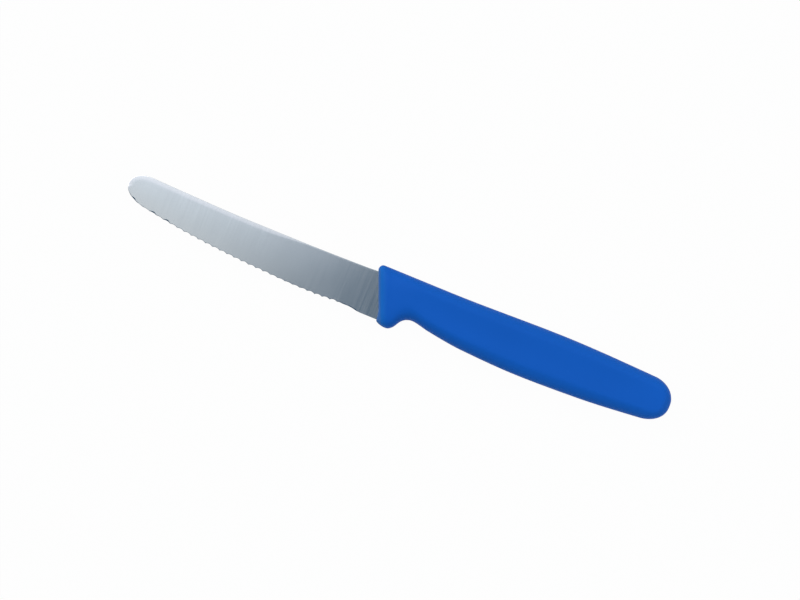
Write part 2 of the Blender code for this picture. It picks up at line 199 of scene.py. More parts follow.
# Handle, across its thickness
HANDLE_THICKNESS = HANDLE_HIGH.z - HANDLE_LOW.z
FRONT_THICKNESS = 0.0106
FRONT_ROUND_LENGTH = 0.0036
SWELL_LENGTH = 0.020
BUTT_ROUND_THICKNESS_LENGTH = 0.0065
TOP_FLATNESS = 3.4
GUARD_FLATNESS = 6.0
BELLY_FLATNESS = 2.9
FLATNESS_BLEND = 0.0105
EDGE_ROUNDNESS = 2.2
LIP_SQUARENESS = 6.0
FRONT_CORE = 0.1
SIDE_CROWN = 0.0005
SIDE_BLEND = 0.00025
SIDE_SINK = 0.00020
SIDE_SINK_WIDTH = 0.0058
SINK_START = 0.008
SINK_END_MARGIN = 0.006
SINK_FADE = 0.02
PARTING_START = 0.001
PARTING_FADE = 0.003
SHARP_CORNER = math.radians(35)

# How near a point counts as lying on a cut, and on the handle's middle
CUT_MARGIN = 0.0000001
MIDDLE_MARGIN = 0.000001

KNIFE_ORIGIN = Vector(
    (
        BLADE_LOW.x + BLADE_LENGTH,
        HANDLE_HIGH.y - (HEEL_SPINE + TOP_COVER + HUMP_RISE),
        (HANDLE_LOW.z + HANDLE_HIGH.z) / 2,
    )
)

# How the photograph is framed, on the plane of the blade
VIEW_WIDTH = 0.2989
VIEW_CENTRE = (0.00793, 0.00179)
VIEW_ROLL = math.radians(22.3)
SENSOR_WIDTH = 36.0

# Stage: the floor's place, finish and share of white glow, and the soft lamps, which face the knife
FLOOR_GAP = 0.00005
FLOOR_ROUGHNESS = 0.9
FLOOR_GLOW = 0.975
KEY_PLACE = (-0.72, 0.40, 0.72)
KEY_SIZE = (1.0, 0.8)
FILL_PLACE = (0.82, -0.12, 0.62)
FILL_SIZE = (0.8, 0.8)

# What the settings below are measured in
AS_LENGTH = {"subtype": "DISTANCE", "unit": "LENGTH"}
AS_ANGLE = {"subtype": "ANGLE", "unit": "ROTATION"}
AS_POWER = {"subtype": "POWER", "unit": "POWER"}
AS_SHARE = {"subtype": "FACTOR", "min": 0.0, "max": 1.0}
AS_COLOUR = {"subtype": "COLOR", "min": 0.0, "max": 1.0}


class BladeSettings(bpy.types.PropertyGroup):
    thickness: FloatProperty(
        name="Thickness",
        description="Thickness of the sheet steel, at the spine and in the tang",
        default=BLADE_HIGH.z - BLADE_LOW.z,
        **AS_LENGTH,
    )
    heel_edge_stock: FloatProperty(
        name="Stock Above the Edge",
        description="Thickness left at the heel of the edge by the flat grinding",
        default=0.00046,
        **AS_LENGTH,
    )
    tip_stock: FloatProperty(
        name="Tip Stock",
        description="Thickness left at the tip",
        default=0.00064,
        **AS_LENGTH,
    )
    tooth_pitch: FloatProperty(
        name="Tooth Pitch",
        description="Distance from tooth to tooth along the edge",
        default=0.0030,
        **AS_LENGTH,
    )
    tooth_depth: FloatProperty(
        name="Tooth Depth",
        description="Depth of the hollows between the teeth",
        default=0.00048,
        **AS_LENGTH,
    )
    plain_heel: FloatProperty(
        name="Plain Heel",
        description="Length at the heel that has no teeth",
        default=0.01045,
        **AS_LENGTH,
    )
    plain_tip: FloatProperty(
        name="Plain Tip",
        description="Length at the tip that has no teeth",
        default=0.0012,
        **AS_LENGTH,
    )
    tip_fade: FloatProperty(
        name="Fading Teeth",
        description="Number of teeth over which the hollows get shallow towards the tip",
        default=12.0,
    )
    tip_depth: FloatProperty(
        name="Depth at the Tip",
        description="Share of the tooth depth that is left at the tip",
        default=0.15,
        **AS_SHARE,
    )
    grind_angle: FloatProperty(
        name="Grinding Angle",
        description="Angle between the blade's right face and the hollows ground into it",
        default=math.radians(11.5),
        **AS_ANGLE,
    )
    edge_bevel: FloatProperty(
        name="Honed Bevel",
        description="Width of the bevel that is honed onto the left side of the edge",
        default=0.00016,
        **AS_LENGTH,
    )
    edge_bevel_angle: FloatProperty(
        name="Honing Angle",
        description="Angle between the left face and the honed bevel",
        default=math.radians(15),
        **AS_ANGLE,
    )
    tooth_steps: IntProperty(
        name="Steps per Tooth",
        description="Fineness of the wavy edge",
        default=14,
    )
    rim_width: FloatProperty(
        name="Polished Rim",
        description="Width of the rounded border that polishing leaves at the spine and round the tip",
        default=0.0018,
        **AS_LENGTH,
    )
    rim_drop: FloatProperty(
        name="Rim Drop",
        description="How far the rounded border falls below the flat face",
        default=0.00009,
        **AS_LENGTH,
    )
    face_crown: FloatProperty(
        name="Face Crown",
        description="How far polishing has lowered the borders of the blade's faces",
        default=0.00006,
        **AS_LENGTH,
    )
    steel_colour: FloatVectorProperty(
        name="Steel",
        description="Colour that the steel reflects",
        default=(0.60, 0.62, 0.65),
        **AS_COLOUR,
    )
    roughness: FloatProperty(
        name="Roughness",
        description="Roughness of the ground and polished faces",
        default=0.17,
        **AS_SHARE,
    )


class HandleSettings(bpy.types.PropertyGroup):
    colour: FloatVectorProperty(
        name="Plastic",
        description="Colour of the handle's plastic",
        default=(0.0068, 0.104, 0.510),
        **AS_COLOUR,
    )
    # Painted highlight: the rounded front is painted a paler blue, as if it caught the light
    front_sheen_colour: FloatVectorProperty(
        name="Rounded Front",
        description="Paler colour of the plastic at the handle's rounded front",
        default=(0.0080, 0.127, 0.515),
        **AS_COLOUR,
    )
    # Painted highlight: a narrow pale line along the lip's edge, painted into the plastic's colour
    lip_highlight_colour: FloatVectorProperty(
        name="Lip",
        description="Palest colour of the plastic, in a narrow band at the lip round the blade",
        default=(0.042, 0.135, 0.420),
        **AS_COLOUR,
    )
    roughness: FloatProperty(
        name="Roughness",
        description="Roughness of the moulded surface",
        default=0.50,
        **AS_SHARE,
    )
    parting_width: FloatProperty(
        name="Parting Line Width",
        description="Width of the line where the two halves of the mould met",
        default=0.00024,
        **AS_LENGTH,
    )
    parting_height: FloatProperty(
        name="Parting Line Height",
        description="How far the line stands out of the plastic",
        default=0.00004,
        **AS_LENGTH,
    )
    clearance: FloatProperty(
        name="Clearance Round the Steel",
        description="Gap between the steel and the plastic that is moulded round it",
        default=0.00003,
        **AS_LENGTH,
    )


class StageSettings(bpy.types.PropertyGroup):
    floor_size: FloatProperty(
        name="Floor Size",
        description="Side of the pale floor",
        default=6.0,
        **AS_LENGTH,
    )
    floor_colour: FloatVectorProperty(
        name="Floor Colour",
        description="Colour of the floor",
        default=(0.60, 0.60, 0.60),
        **AS_COLOUR,
    )
    lens: FloatProperty(
        name="Lens",
        description="Focal length of the camera",
        default=70.0,
        subtype="DISTANCE_CAMERA",
        unit="CAMERA",
    )
    key_power: FloatProperty(
        name="Key Light",
        description="Power of the soft light over the tip and the spine",
        default=5.0,
        **AS_POWER,
    )
    fill_power: FloatProperty(
        name="Fill Light",
        description="Power of the soft light at the other side",
        default=2.5,
        **AS_POWER,
    )


class KnifeSettings(bpy.types.PropertyGroup):
    blade: PointerProperty(type=BladeSettings)
    handle: PointerProperty(type=HandleSettings)
    stage: PointerProperty(type=StageSettings)


# Curves


def lerp(first, second, share):
    return first + (second - first) * share


def clamp(value, low=0.0, high=1.0):
    return max(low, min(high, value))


def ease(share):
    """Smooth step from 0 to 1."""
    share = clamp(share)
    return share * share * (3 - 2 * share)


def round_off(share, power):
    """Height of a superellipse quarter: 1 at share 0, 0 at share 1."""
    return (1 - clamp(share) ** power) ** (1 / power)


def soft_limit(value, limit, blend):
    """value with its size held to limit, easing over within blend of it."""
    near = max(blend - abs(abs(value) - limit), 0.0)
    return math.copysign(min(abs(value), limit) - near * near / (4 * blend), value)


def signed_power(value, power):
    return math.copysign(abs(value) ** power, value)


def smooth_line(keys, x):
    """Height at x of a smooth curve through keys, sorted by x, that never swings past a key."""
    if x <= keys[0][0]:
        return keys[0][1]
    if x >= keys[-1][0]:
        return keys[-1][1]
    spans = [right[0] - left[0] for left, right in zip(keys, keys[1:])]
    rises = [(right[1] - left[1]) / span for left, right, span in zip(keys, keys[1:], spans)]
    slopes = [rises[0]]
    for before, after in zip(rises, rises[1:]):
        slopes.append(2 * before * after / (before + after) if before * after > 0 else 0.0)
    slopes.append(rises[-1])
    i = next(n for n, key in enumerate(keys[1:]) if x <= key[0])
    share = (x - keys[i][0]) / spans[i]
    straight = lerp(keys[i][1], keys[i + 1][1], ease(share))
    bend_left = share * (1 - share) ** 2 * slopes[i]
    bend_right = share**2 * (share - 1) * slopes[i + 1]
    return straight + spans[i] * (bend_left + bend_right)


def front_x(height):
    """Where the slanted front of the handle stands at a height above the axis."""
    return -height * math.tan(FRONT_SLANT)


def path_lengths(points):
    lengths = [0.0]
    for before, after in zip(points, points[1:]):
        lengths.append(lengths[-1] + (after - before).length)
    return lengths


def point_along(points, lengths, distance):
    i = next((n for n, length in enumerate(lengths) if length >= distance), len(points) - 1)
    if i == 0:
        return points[0].copy()
    share = (distance - lengths[i - 1]) / (lengths[i] - lengths[i - 1])
    return points[i - 1].lerp(points[i], clamp(share))


def even_points(points, lengths, start, end, count):
    """count points from start up to, but not including, end, at equal steps along the path."""
    return [point_along(points, lengths, lerp(start, end, i / count)) for i in range(count)]


# Mesh helpers


def loft(mesh, rings):
    """Extrudes a circle from ring to ring, moves each new ring into place and closes both ends.

    It returns the vertices of every ring, in order round it, and the two faces that close the ends."""
    circle = bmesh.ops.create_circle(mesh, segments=len(rings[0]), radius=1.0)
    verts = circle["verts"]
    edges = mesh.edges[:]
    first_edges = edges
    placed = []
    for number, ring in enumerate(rings):
        if number:
            made = bmesh.ops.extrude_edge_only(mesh, edges=edges)["geom"]
            new_verts = {item for item in made if isinstance(item, bmesh.types.BMVert)}
            neighbours = [[edge.other_vert(vert) for edge in vert.link_edges] for vert in verts]
            verts = [next(vert for vert in near if vert in new_verts) for near in neighbours]
            edges = [
                item
                for item in made
                if isinstance(item, bmesh.types.BMEdge) and new_verts.issuperset(item.verts)
            ]
        for vert, place in zip(verts, ring):
            vert.co = place
        placed.append(verts)
    caps = []
    for border in (first_edges, edges):
        caps += bmesh.ops.edgeloop_fill(mesh, edges=border)["faces"]
    bmesh.ops.recalc_face_normals(mesh, faces=mesh.faces)
    return placed, caps


def add_object(name, data):
    """Makes an object at the origin and links it to the scene."""
    made = bpy.data.objects.new(name, data)
    bpy.context.scene.collection.objects.link(made)
    return made


def add_mesh(name, mesh, materials):
    data = bpy.data.meshes.new(name)
    mesh.to_mesh(data)
    mesh.free()
    for material in materials:
        data.materials.append(material)
    return add_object(name, data)


def add_piece(name, mesh, materials):
    """Makes the object at the origin, with its mesh moved to where the frame has the knife."""
    bmesh.ops.translate(mesh, verts=mesh.verts, vec=KNIFE_ORIGIN)
    return add_mesh(name, mesh, materials)


def cut(piece, cutter):
    """Takes the cutter's shape out of the piece for good, and removes the cutter."""
    modifier = piece.modifiers.new("cut", "BOOLEAN")
    modifier.operation = "DIFFERENCE"
    modifier.solver = "EXACT"
    modifier.object = cutter
    graph = bpy.context.evaluated_depsgraph_get()
    made = bpy.data.meshes.new_from_object(piece.evaluated_get(graph), depsgraph=graph)
    piece.modifiers.remove(modifier)
    piece.data = made
    bpy.data.objects.remove(cutter, do_unlink=True)


# Blade


def side_line(curve, heel_height, x):
    """Height of the spine or the edge before the tip is rounded."""
    keys = [(-share * BLADE_LENGTH, height) for share, height in reversed(curve)]
    keys.append((front_x(heel_height), heel_height))
    return smooth_line(keys, x)


def blade_side(curve, heel_height, tip_power, samples=900):
    """Fine line along the spine or the edge, from the heel to the tip, and its lengths up to each point."""
    points = []
    for i in range(samples + 1):
        x = lerp(front_x(heel_height), -BLADE_LENGTH, math.sin(i / samples * math.pi / 2))
        share = (-x - (BLADE_LENGTH - TIP_ROUND_LENGTH)) / TIP_ROUND_LENGTH
        height = lerp(TIP_HEIGHT, side_line(curve, heel_height, x), round_off(share, tip_power))
        points.append(Vector((x, height)))
    return points, path_lengths(points)


class Station:
    """A place on the blade's outline, with its depth of tooth, its sharpening, honing and polished rim,
    and whether a ridge between two hollows runs in from it."""

    def __init__(self, point, wave=0.0, sharp=0.0, hone=1.0, rim=0.0, ridge=False):
        self.point = point
        self.wave = wave
        self.sharp = sharp
        self.hone = hone
        self.rim = rim
        self.ridge = ridge
        self.inward = Vector((0.0, 0.0))


def toothed_stations(points, lengths, start, teeth, blade):
    """The wavy stretch: arcs between pointed teeth. They fade out at the heel and get shallow at the tip.

    In one stretch the grinding is lighter. Near the tip some hollows are honed more strongly."""
    stations = []
    for i in range(teeth * blade.tooth_steps):
        tooth = i / blade.tooth_steps
        across = 2 * (tooth % 1.0) - 1
        ground = ease(min(tooth, teeth - tooth) / FADE_TEETH)
        depth = ground * lerp(1.0, blade.tip_depth, ease(1 - (teeth - tooth) / blade.tip_fade))
        place = point_along(points, lengths, start + tooth * blade.tooth_pitch)
        depth *= lerp(LIGHT_DEPTH, 1.0, ease(abs(place.x + LIGHT_STRETCH) / LIGHT_REACH))
        hollow = 1 - across**2
        if teeth - int(tooth) in STRONGLY_HONED:
            hone = lerp(TOOTH_HONE, STRONG_HONE, hollow**2)
        else:
            hone = lerp(TOOTH_HONE, WEAK_HONE, hollow)
        hone = lerp(HEEL_HONE, hone, ease(tooth / FADE_TEETH))
        sharp = ease((teeth - tooth) / FADE_TEETH)
        ridge = i % blade.tooth_steps == 0
        stations.append(Station(place, wave=hollow * depth, sharp=sharp, hone=hone, ridge=ridge))
    return stations


def tang_points():
    """The hidden part of the blank, from the spine's shoulder round the tang to the edge's shoulder."""
    root_top = TANG_CENTRE + TANG_ROOT_WIDTH / 2
    root_bottom = TANG_CENTRE - TANG_ROOT_WIDTH / 2
    end_radius = TANG_END_WIDTH / 2
    fillet = SHOULDER_FILLET

    def shoulder_x(height):
        return front_x(height) + SHOULDER_DEPTH

    back, down = SPINE_SHOULDER_TURN
    points = [Vector((shoulder_x(HEEL_SPINE) - fillet, HEEL_SPINE))]
    points.append(Vector((shoulder_x(HEEL_SPINE) - fillet * back, HEEL_SPINE - fillet * down)))
    points.append(Vector((shoulder_x(HEEL_SPINE), root_top)))
    end_centre = Vector((TANG_END - end_radius, TANG_CENTRE))
    for i in range(TANG_END_STEPS + 1):
        angle = math.pi / 2 - i / TANG_END_STEPS * math.pi
        points.append(end_centre + end_radius * Vector((math.cos(angle), math.sin(angle))))
    root = Vector((shoulder_x(root_bottom) + fillet, root_bottom))
    corner = Vector((shoulder_x(root_bottom), root_bottom))
    corner_bottom = Vector((shoulder_x(-HEEL_EDGE), -HEEL_EDGE))
    run = (corner_bottom - corner).normalized() * fillet
    low_end = corner_bottom - Vector((fillet, 0.0))
    for start, turn, end in ((root, corner, corner + run), (corner_bottom - run, corner_bottom, low_end)):
        for i in range(FILLET_STEPS + 1):
            share = i / FILLET_STEPS
            points.append(start.lerp(turn, share).lerp(turn.lerp(end, share), share))
    return points


def blade_stations(blade, toothed):
    """Every station round the blade and its tang, starting at the heel of the edge."""
    edge, edge_lengths = blade_side(EDGE_CURVE, -HEEL_EDGE, TIP_EDGE_POWER)
    spine, spine_lengths = blade_side(SPINE_CURVE, HEEL_SPINE, TIP_SPINE_POWER)
    start = next(length for point, length in zip(edge, edge_lengths) if point.x <= -blade.plain_heel)
    teeth = int((edge_lengths[-1] - blade.plain_tip - start) / blade.tooth_pitch)
    end = start + teeth * blade.tooth_pitch
    heel = even_points(edge, edge_lengths, 0.0, start, HEEL_STEPS)
    if toothed:
        sharpness = [ease((-point.x - SHARP_START) / SHARP_BLEND) for point in heel]
        stations = [Station(point, sharp=sharp, hone=HEEL_HONE) for point, sharp in zip(heel, sharpness)]
        stations += toothed_stations(edge, edge_lengths, start, teeth, blade)
    else:
        heel += even_points(edge, edge_lengths, start, end, BLANK_EDGE_STEPS)
        stations = [Station(point) for point in heel]
    for i, point in enumerate(even_points(edge, edge_lengths, end, edge_lengths[-1], TIP_EDGE_STEPS)):
        stations.append(Station(point, rim=ease(i / (TIP_EDGE_STEPS - 1))))
    tip_arc = spine_lengths[-1] - TIP_ROUND_LENGTH
    for point in even_points(spine, spine_lengths, spine_lengths[-1], tip_arc, TIP_ARC_STEPS):
        stations.append(Station(point, rim=1.0))
    for point in even_points(spine, spine_lengths, tip_arc, 0.0, SPINE_STEPS):
        fade = ease((point.x + RIM_FADE_START) / RIM_FADE_LENGTH)
        stations.append(Station(point, rim=lerp(1.0, HEEL_RIM, fade)))
    stations += [Station(point) for point in tang_points()]
    for before, station, after in zip(stations[-1:] + stations, stations, stations[1:] + stations[:1]):
        along = (after.point - before.point).normalized()
        station.inward = Vector((along.y, -along.x))
    return stations


def taper_end():
    """Where the blade's flat taper stops, hidden just behind the shoulders."""
    return front_x(-HEEL_EDGE) + SHOULDER_DEPTH + TAPER_MARGIN


def half_thickness(point, blade):
    """Half the steel's thickness: a flat taper with a slight crown in the blade, and full in the tang."""
    slope_up = (blade.thickness - blade.heel_edge_stock) / 2 / (HEEL_SPINE + HEEL_EDGE)
    at_axis = blade.thickness / 2 - slope_up * HEEL_SPINE
    slope_along = (at_axis + slope_up * TIP_HEIGHT - blade.tip_stock / 2) / BLADE_LENGTH
    ground = at_axis + slope_up * point.y + slope_along * point.x - face_crown(point, blade)
    return lerp(ground, blade.thickness / 2, clamp((point.x - taper_end()) / TAPER_BLEND))


def face_crown(point, blade):
    """How far a face lies below its flat middle. The crown fades out towards the handle."""
    if point.x > 0:
        return 0.0
    spine = side_line(SPINE_CURVE, HEEL_SPINE, point.x)
    edge = side_line(EDGE_CURVE, -HEEL_EDGE, point.x)
    across = clamp((2 * point.y - spine - edge) / (spine - edge), -1.0, 1.0)
    return blade.face_crown * across**2 * ease(-point.x / CROWN_FADE)


def blunt_section(station, blade):
    """Half of a blunt border: a rounded rim that falls off towards the outline, and a small round corner.

    Each point is its distance from the outline and its rise from the flat face."""
    width = max(blade.rim_width * station.rim, PLAIN_RIM)
    drop = blade.rim_drop * station.rim
    points = []
    for share in RIM_SHARES:
        points.append((lerp(width, CORNER_RADIUS, share), -drop * share**RIM_POWER))
    for turn in CORNER_TURNS:
        sink = CORNER_RADIUS * (1 - math.cos(turn * math.pi / 2))
        points.append((CORNER_RADIUS * (1 - math.sin(turn * math.pi / 2)), -drop - sink))
    return points


def sharp_section(station, blade):
    """A whole sharpened border: the flat left face, its honed bevel, and the hollow ground on the right."""
    foot = station.point + station.inward * blade.tooth_depth * station.wave
    slope = math.tan(blade.grind_angle)
    bevel = blade.edge_bevel * station.hone
    bevel_drop = bevel * math.tan(blade.edge_bevel_angle)
    edge_z = half_thickness(foot, blade) - bevel_drop
    reach = 2 * edge_z / slope
    # The hollow ends where it meets the right face, whose level depends on how far in that is
    for _ in range(3):
        reach = (edge_z + half_thickness(foot + station.inward * reach, blade)) / slope
    points = []
    for share in RIM_SHARES:
        at = foot + station.inward * lerp(SHARP_FACE_INSET, bevel, share)
        if share == 0:
            at = station.point + station.inward * (SHARP_FACE_INSET + blade.tooth_depth)
        points.append((at, half_thickness(at, blade)))
    for turn in CORNER_TURNS:
        at = foot + station.inward * bevel * (1 - turn)
        points.append((at, half_thickness(at, blade) - bevel_drop * turn))
    for climb in HOLLOW_CLIMBS:
        if climb is None:
            at = station.point + station.inward * HOLLOW_FACE_INSET
        else:
            at = foot + station.inward * reach * climb
        points.append((at, max(edge_z - (at - foot).length * slope, -half_thickness(at, blade))))
    return points


def blade_section(station, blade):
    """Points across the steel at a station, from its left face over the outline to its right face.

    The blunt and the sharpened form have the same points, so that one fades into the other."""
    half = blunt_section(station, blade)
    blunt = []
    for side, points in ((1, half), (-1, half[::-1])):
        for inset, rise in points:
            at = station.point + station.inward * inset
            blunt.append((at, side * (half_thickness(at, blade) + rise)))
    points = []
    for (blunt_at, blunt_z), (sharp_at, sharp_z) in zip(blunt, sharp_section(station, blade)):
        at = blunt_at.lerp(sharp_at, station.sharp)
        points.append(Vector((at.x, at.y, lerp(blunt_z, sharp_z, station.sharp))))
    return points


def blade_mesh(blade):
    mesh = bmesh.new()
    stations = blade_stations(blade, toothed=True)
    sections = [blade_section(station, blade) for station in stations]
    rings = [list(ring) for ring in zip(*sections)]
    loops, caps = loft(mesh, rings)
    for face in mesh.faces:
        face.smooth = True
    mark_grinding(mesh, loops, stations)
    for cap in caps:
        crown_face(mesh, cap, blade)
    lay_grain(mesh)
    return mesh


def crown_face(mesh, face, blade):
    """Divides one side of the blade into small cells and lays them on its crowned and tapered surface."""
    side = 1 if face.normal.z > 0 else -1
    columns = int(BLADE_LENGTH / CELL_LENGTH) + 1
    cuts = [(Vector((-CELL_LENGTH * i, 0, 0)), Vector((1, 0, 0))) for i in range(columns)]
    cuts += [(Vector((0, CELL_HEIGHT * i, 0)), Vector((0, 1, 0))) for i in range(-CELL_ROWS, CELL_ROWS + 1)]
    faces = [face]
    for place, normal in cuts:
        edges = {edge for cell in faces for edge in cell.edges}
        verts = {vert for cell in faces for vert in cell.verts}
        made = bmesh.ops.bisect_plane(
            mesh, geom=faces + list(edges) + list(verts), dist=CUT_MARGIN, plane_co=place, plane_no=normal
        )
        faces = [item for item in made["geom"] if isinstance(item, bmesh.types.BMFace)]
    for vert in {vert for cell in faces for vert in cell.verts}:
        vert.co.z = side * half_thickness(vert.co, blade)


def mark_grinding(mesh, loops, stations):
    """Keeps the grinding's borders and the ridges between the hollows crisp, and gives the hollows their
    own finish."""
    crisp = (BEVEL_LEVEL, LEFT_LEVELS - 1, LEFT_LEVELS, BORDER_LEVEL)
    number = {vert: i for loop in loops for i, vert in enumerate(loop)}
    level = {vert: n for n, loop in enumerate(loops) for vert in loop}

    def sharpened(item):
        return all(stations[number[vert]].sharp > LEAST_SHARP for vert in item.verts)

    for edge in mesh.edges:
        first, second = edge.verts
        low, high = sorted((level[first], level[second]))
        if low == high:
            edge.smooth = not (sharpened(edge) and low in crisp)
        elif sharpened(edge) and low >= LEFT_LEVELS and high <= BORDER_LEVEL:
            edge.smooth = not (number[first] == number[second] and stations[number[first]].ridge)
    hollow_levels = set(range(LEFT_LEVELS, BORDER_LEVEL + 1))
    for face in mesh.faces:
        if {level[vert] for vert in face.verts} <= hollow_levels and sharpened(face):
            face.material_index = 1


def lay_grain(mesh):
    """A UV map that lies straight along the blade, for the direction of its finish."""
    layer = mesh.loops.layers.uv.new("grain")
    for face in mesh.faces:
        for corner in face.loops:
            corner[layer].uv = (corner.vert.co.x * GRAIN_SCALE, corner.vert.co.y * GRAIN_SCALE)


def hole_pins(name, radius):
    """One cutter that holds a round pin for every lock hole."""
    mesh = bmesh.new()
    last = TANG_END - LOCK_HOLE_END_MARGIN
    for i in range(LOCK_HOLE_COUNT):
        made = bmesh.ops.create_cone(
            mesh, cap_ends=True, segments=PIN_SEGMENTS, radius1=radius, radius2=radius, depth=PIN_LENGTH
        )
        place = Vector((last - LOCK_HOLE_PITCH * i, TANG_CENTRE, 0.0))
        bmesh.ops.translate(mesh, verts=made["verts"], vec=place)
    return add_piece(name, mesh, [])


def seat_cutter(blade, clearance):
    """The plain blank, swollen by the clearance, which leaves its seat in the plastic."""
    mesh = bmesh.new()
    rings = [[], []]
    for station in blade_stations(blade, toothed=False):
        at = station.point - station.inward * clearance
        half = half_thickness(at, blade) + clearance
        rings[0].append(Vector((at.x, at.y, half)))
        rings[1].append(Vector((at.x, at.y, -half)))
    loft(mesh, rings)
    bmesh.ops.triangulate(mesh, faces=mesh.faces)
    return add_piece("seat_cutter", mesh, [])


# Handle


def butt_outline(x, power):
    return round_off((x - (HANDLE_END - BUTT_ROUND_LENGTH)) / BUTT_ROUND_LENGTH, power)


def top_height(x):
    """Upper outline of the handle: straight, then a low hump, then the round butt."""
    level = HEEL_SPINE + TOP_COVER
    keys = (
        (0.0, level),
        (HUMP_START, level),
        (HUMP_POSITION, level + HUMP_RISE),
        (HANDLE_END, level + HUMP_RISE - REAR_TOP_DROP),
    )
    corner = round_off(1 - (x - front_x(LIP_TOP)) / TOP_CORNER_LENGTH, TOP_CORNER_POWER)
    height = lerp(LIP_TOP, smooth_line(keys, x), corner)
    return lerp(BUTT_HEIGHT, height, butt_outline(x, BUTT_TOP_POWER))


def belly_height(x):
    """Lower outline of the handle: finger guard, finger recess, belly, then the round butt."""
    guard = (GUARD_POSITION, -(HEEL_EDGE + GUARD_COVER))
    recess = (RECESS_POSITION, TANG_CENTRE - TANG_ROOT_WIDTH / 2 - RECESS_COVER)
    belly = (BELLY_POSITION, -BELLY_DROP)
    butt = (HANDLE_END, -BELLY_DROP + REAR_BELLY_RISE)
    keys = [guard]
    for start, end, shares in (
        (guard, recess, GUARD_TO_RECESS),
        (recess, belly, RECESS_TO_BELLY),
        (belly, butt, BELLY_TO_BUTT),
    ):
        keys += [(lerp(start[0], end[0], along), lerp(start[1], end[1], up)) for along, up in shares]
        keys.append(end)
    corner = round_off(1 - (x - front_x(LIP_BOTTOM)) / GUARD_CORNER_LENGTH, GUARD_CORNER_POWER)
    height = lerp(LIP_BOTTOM, smooth_line(keys, x), corner)
    return lerp(BUTT_HEIGHT, height, butt_outline(x, BUTT_BELLY_POWER))


def handle_half(from_front, from_butt):
    """Half the handle's thickness behind its round front, before its sides are flattened."""
    full = HANDLE_THICKNESS / 2 + SIDE_CROWN
    half = lerp(FRONT_THICKNESS / 2, full, ease(from_front / SWELL_LENGTH))
    return half * round_off(1 - from_butt / BUTT_ROUND_THICKNESS_LENGTH, EDGE_ROUNDNESS)


def handle_places():
    """Distances from the front, as shares of the length: closer at the front, the guard and the butt."""
    length = HANDLE_END - front_x(LIP_BOTTOM)
    guard_end = RECESS_POSITION + GUARD_REACH
    butt_start = length - BUTT_ROUND_LENGTH
    front = [1 - math.cos(i / FRONT_STEPS * math.pi / 2) for i in range(FRONT_STEPS)]
    butt = [math.sin(i / BUTT_SPAN * math.pi / 2) for i in range(BUTT_STEPS)]
    places = [FRONT_ROUND_LENGTH * share for share in front]
    places += [lerp(FRONT_ROUND_LENGTH, guard_end, i / GUARD_STEPS) for i in range(GUARD_STEPS)]
    places += [lerp(guard_end, butt_start, i / GRIP_STEPS) for i in range(GRIP_STEPS)]
    places += [butt_start + BUTT_ROUND_LENGTH * share for share in butt]
    return [place / length for place in places]


def handle_ring(share, steel_thickness, segments=120):
    """The closed section at a share of the handle's length, as points in order round it."""
    start_top = front_x(LIP_TOP)
    start_bottom = front_x(LIP_BOTTOM)
    top_x = lerp(start_top, HANDLE_END, share)
    bottom_x = lerp(start_bottom, HANDLE_END, share)
    top = Vector((top_x, top_height(top_x)))
    bottom = Vector((bottom_x, belly_height(bottom_x)))
    from_front = bottom_x - start_bottom
    lip_half = steel_thickness / 2 + FRONT_LIP
    body_half = handle_half(from_front, HANDLE_END - top_x)
    past_guard = ease((bottom_x - GUARD_POSITION) / FLATNESS_BLEND)
    low_flatness = lerp(GUARD_FLATNESS, BELLY_FLATNESS, past_guard)
    swollen = round_off(1 - from_front / FRONT_ROUND_LENGTH, EDGE_ROUNDNESS)
    forward = 1 - ease(from_front / FRONT_ROUND_LENGTH)
    ring = []
    for i in range(segments):
        rise = math.cos(2 * math.pi * i / segments)
        turn = math.sin(2 * math.pi * i / segments)
        flatness = TOP_FLATNESS if rise > 0 else low_flatness
        up = lerp(signed_power(rise, 2 / LIP_SQUARENESS), signed_power(rise, 2 / flatness), swollen)
        lip = lip_half * signed_power(turn, 2 / LIP_SQUARENESS)
        side = lerp(lip, body_half * signed_power(turn, 2 / EDGE_ROUNDNESS), swollen)
        side = soft_limit(side, HANDLE_THICKNESS / 2, SIDE_BLEND)
        place = bottom.lerp(top, (up + 1) / 2)
        toe = clamp(1 - (HEEL_EDGE + place.y) / TOE_HEIGHT) ** TOE_POWER
        toe *= ease(1 - abs(side) / TOE_HALF_THICKNESS)
        place.x -= TOE_LENGTH * toe * forward
        side -= math.copysign(side_sink(place, (top.y + bottom.y) / 2), side)
        ring.append(Vector((place.x, place.y, side)))
    return ring


def side_sink(place, middle):
    """Shallow dish in the handle's sides, where the thick plastic has shrunk most as it cooled."""
    across = clamp(abs(place.y - middle) / SIDE_SINK_WIDTH)
    front = ease((place.x - SINK_START) / SINK_FADE)
    rear = ease((HANDLE_END - SINK_END_MARGIN - place.x) / SINK_FADE)
    return SIDE_SINK * (1 - across**2) ** 2 * front * rear


def raise_parting_line(mesh, handle):
    """A fine ridge round the handle's middle, where the halves of the mould met.

    The middle line stays where it is, and the rest of the surface sinks by the ridge's height."""
    for side in (-0.5, 0.5):
        everything = mesh.verts[:] + mesh.edges[:] + mesh.faces[:]
        level = Vector((0.0, 0.0, side * handle.parting_width))
        bmesh.ops.bisect_plane(mesh, geom=everything, dist=CUT_MARGIN, plane_co=level, plane_no=(0, 0, 1))
    mesh.normal_update()
    for vert in mesh.verts:
        if abs(vert.co.z) > MIDDLE_MARGIN:
            fade = ease((vert.co.x - front_x(vert.co.y) - PARTING_START) / PARTING_FADE)
            vert.co.xy -= vert.normal.xy * handle.parting_height * fade


def handle_mesh(handle, steel_thickness):
    """The handle's outer shape.

    Its front face is divided inside the blade's seat, so that it follows the toe."""
    mesh = bmesh.new()
    rings = [handle_ring(share, steel_thickness) for share in handle_places()]
    core = [Vector((place.x, place.y, place.z * FRONT_CORE)) for place in rings[0]]
    loft(mesh, [core] + rings)
    raise_parting_line(mesh, handle)
    for face in mesh.faces:
        face.smooth = True
    return mesh
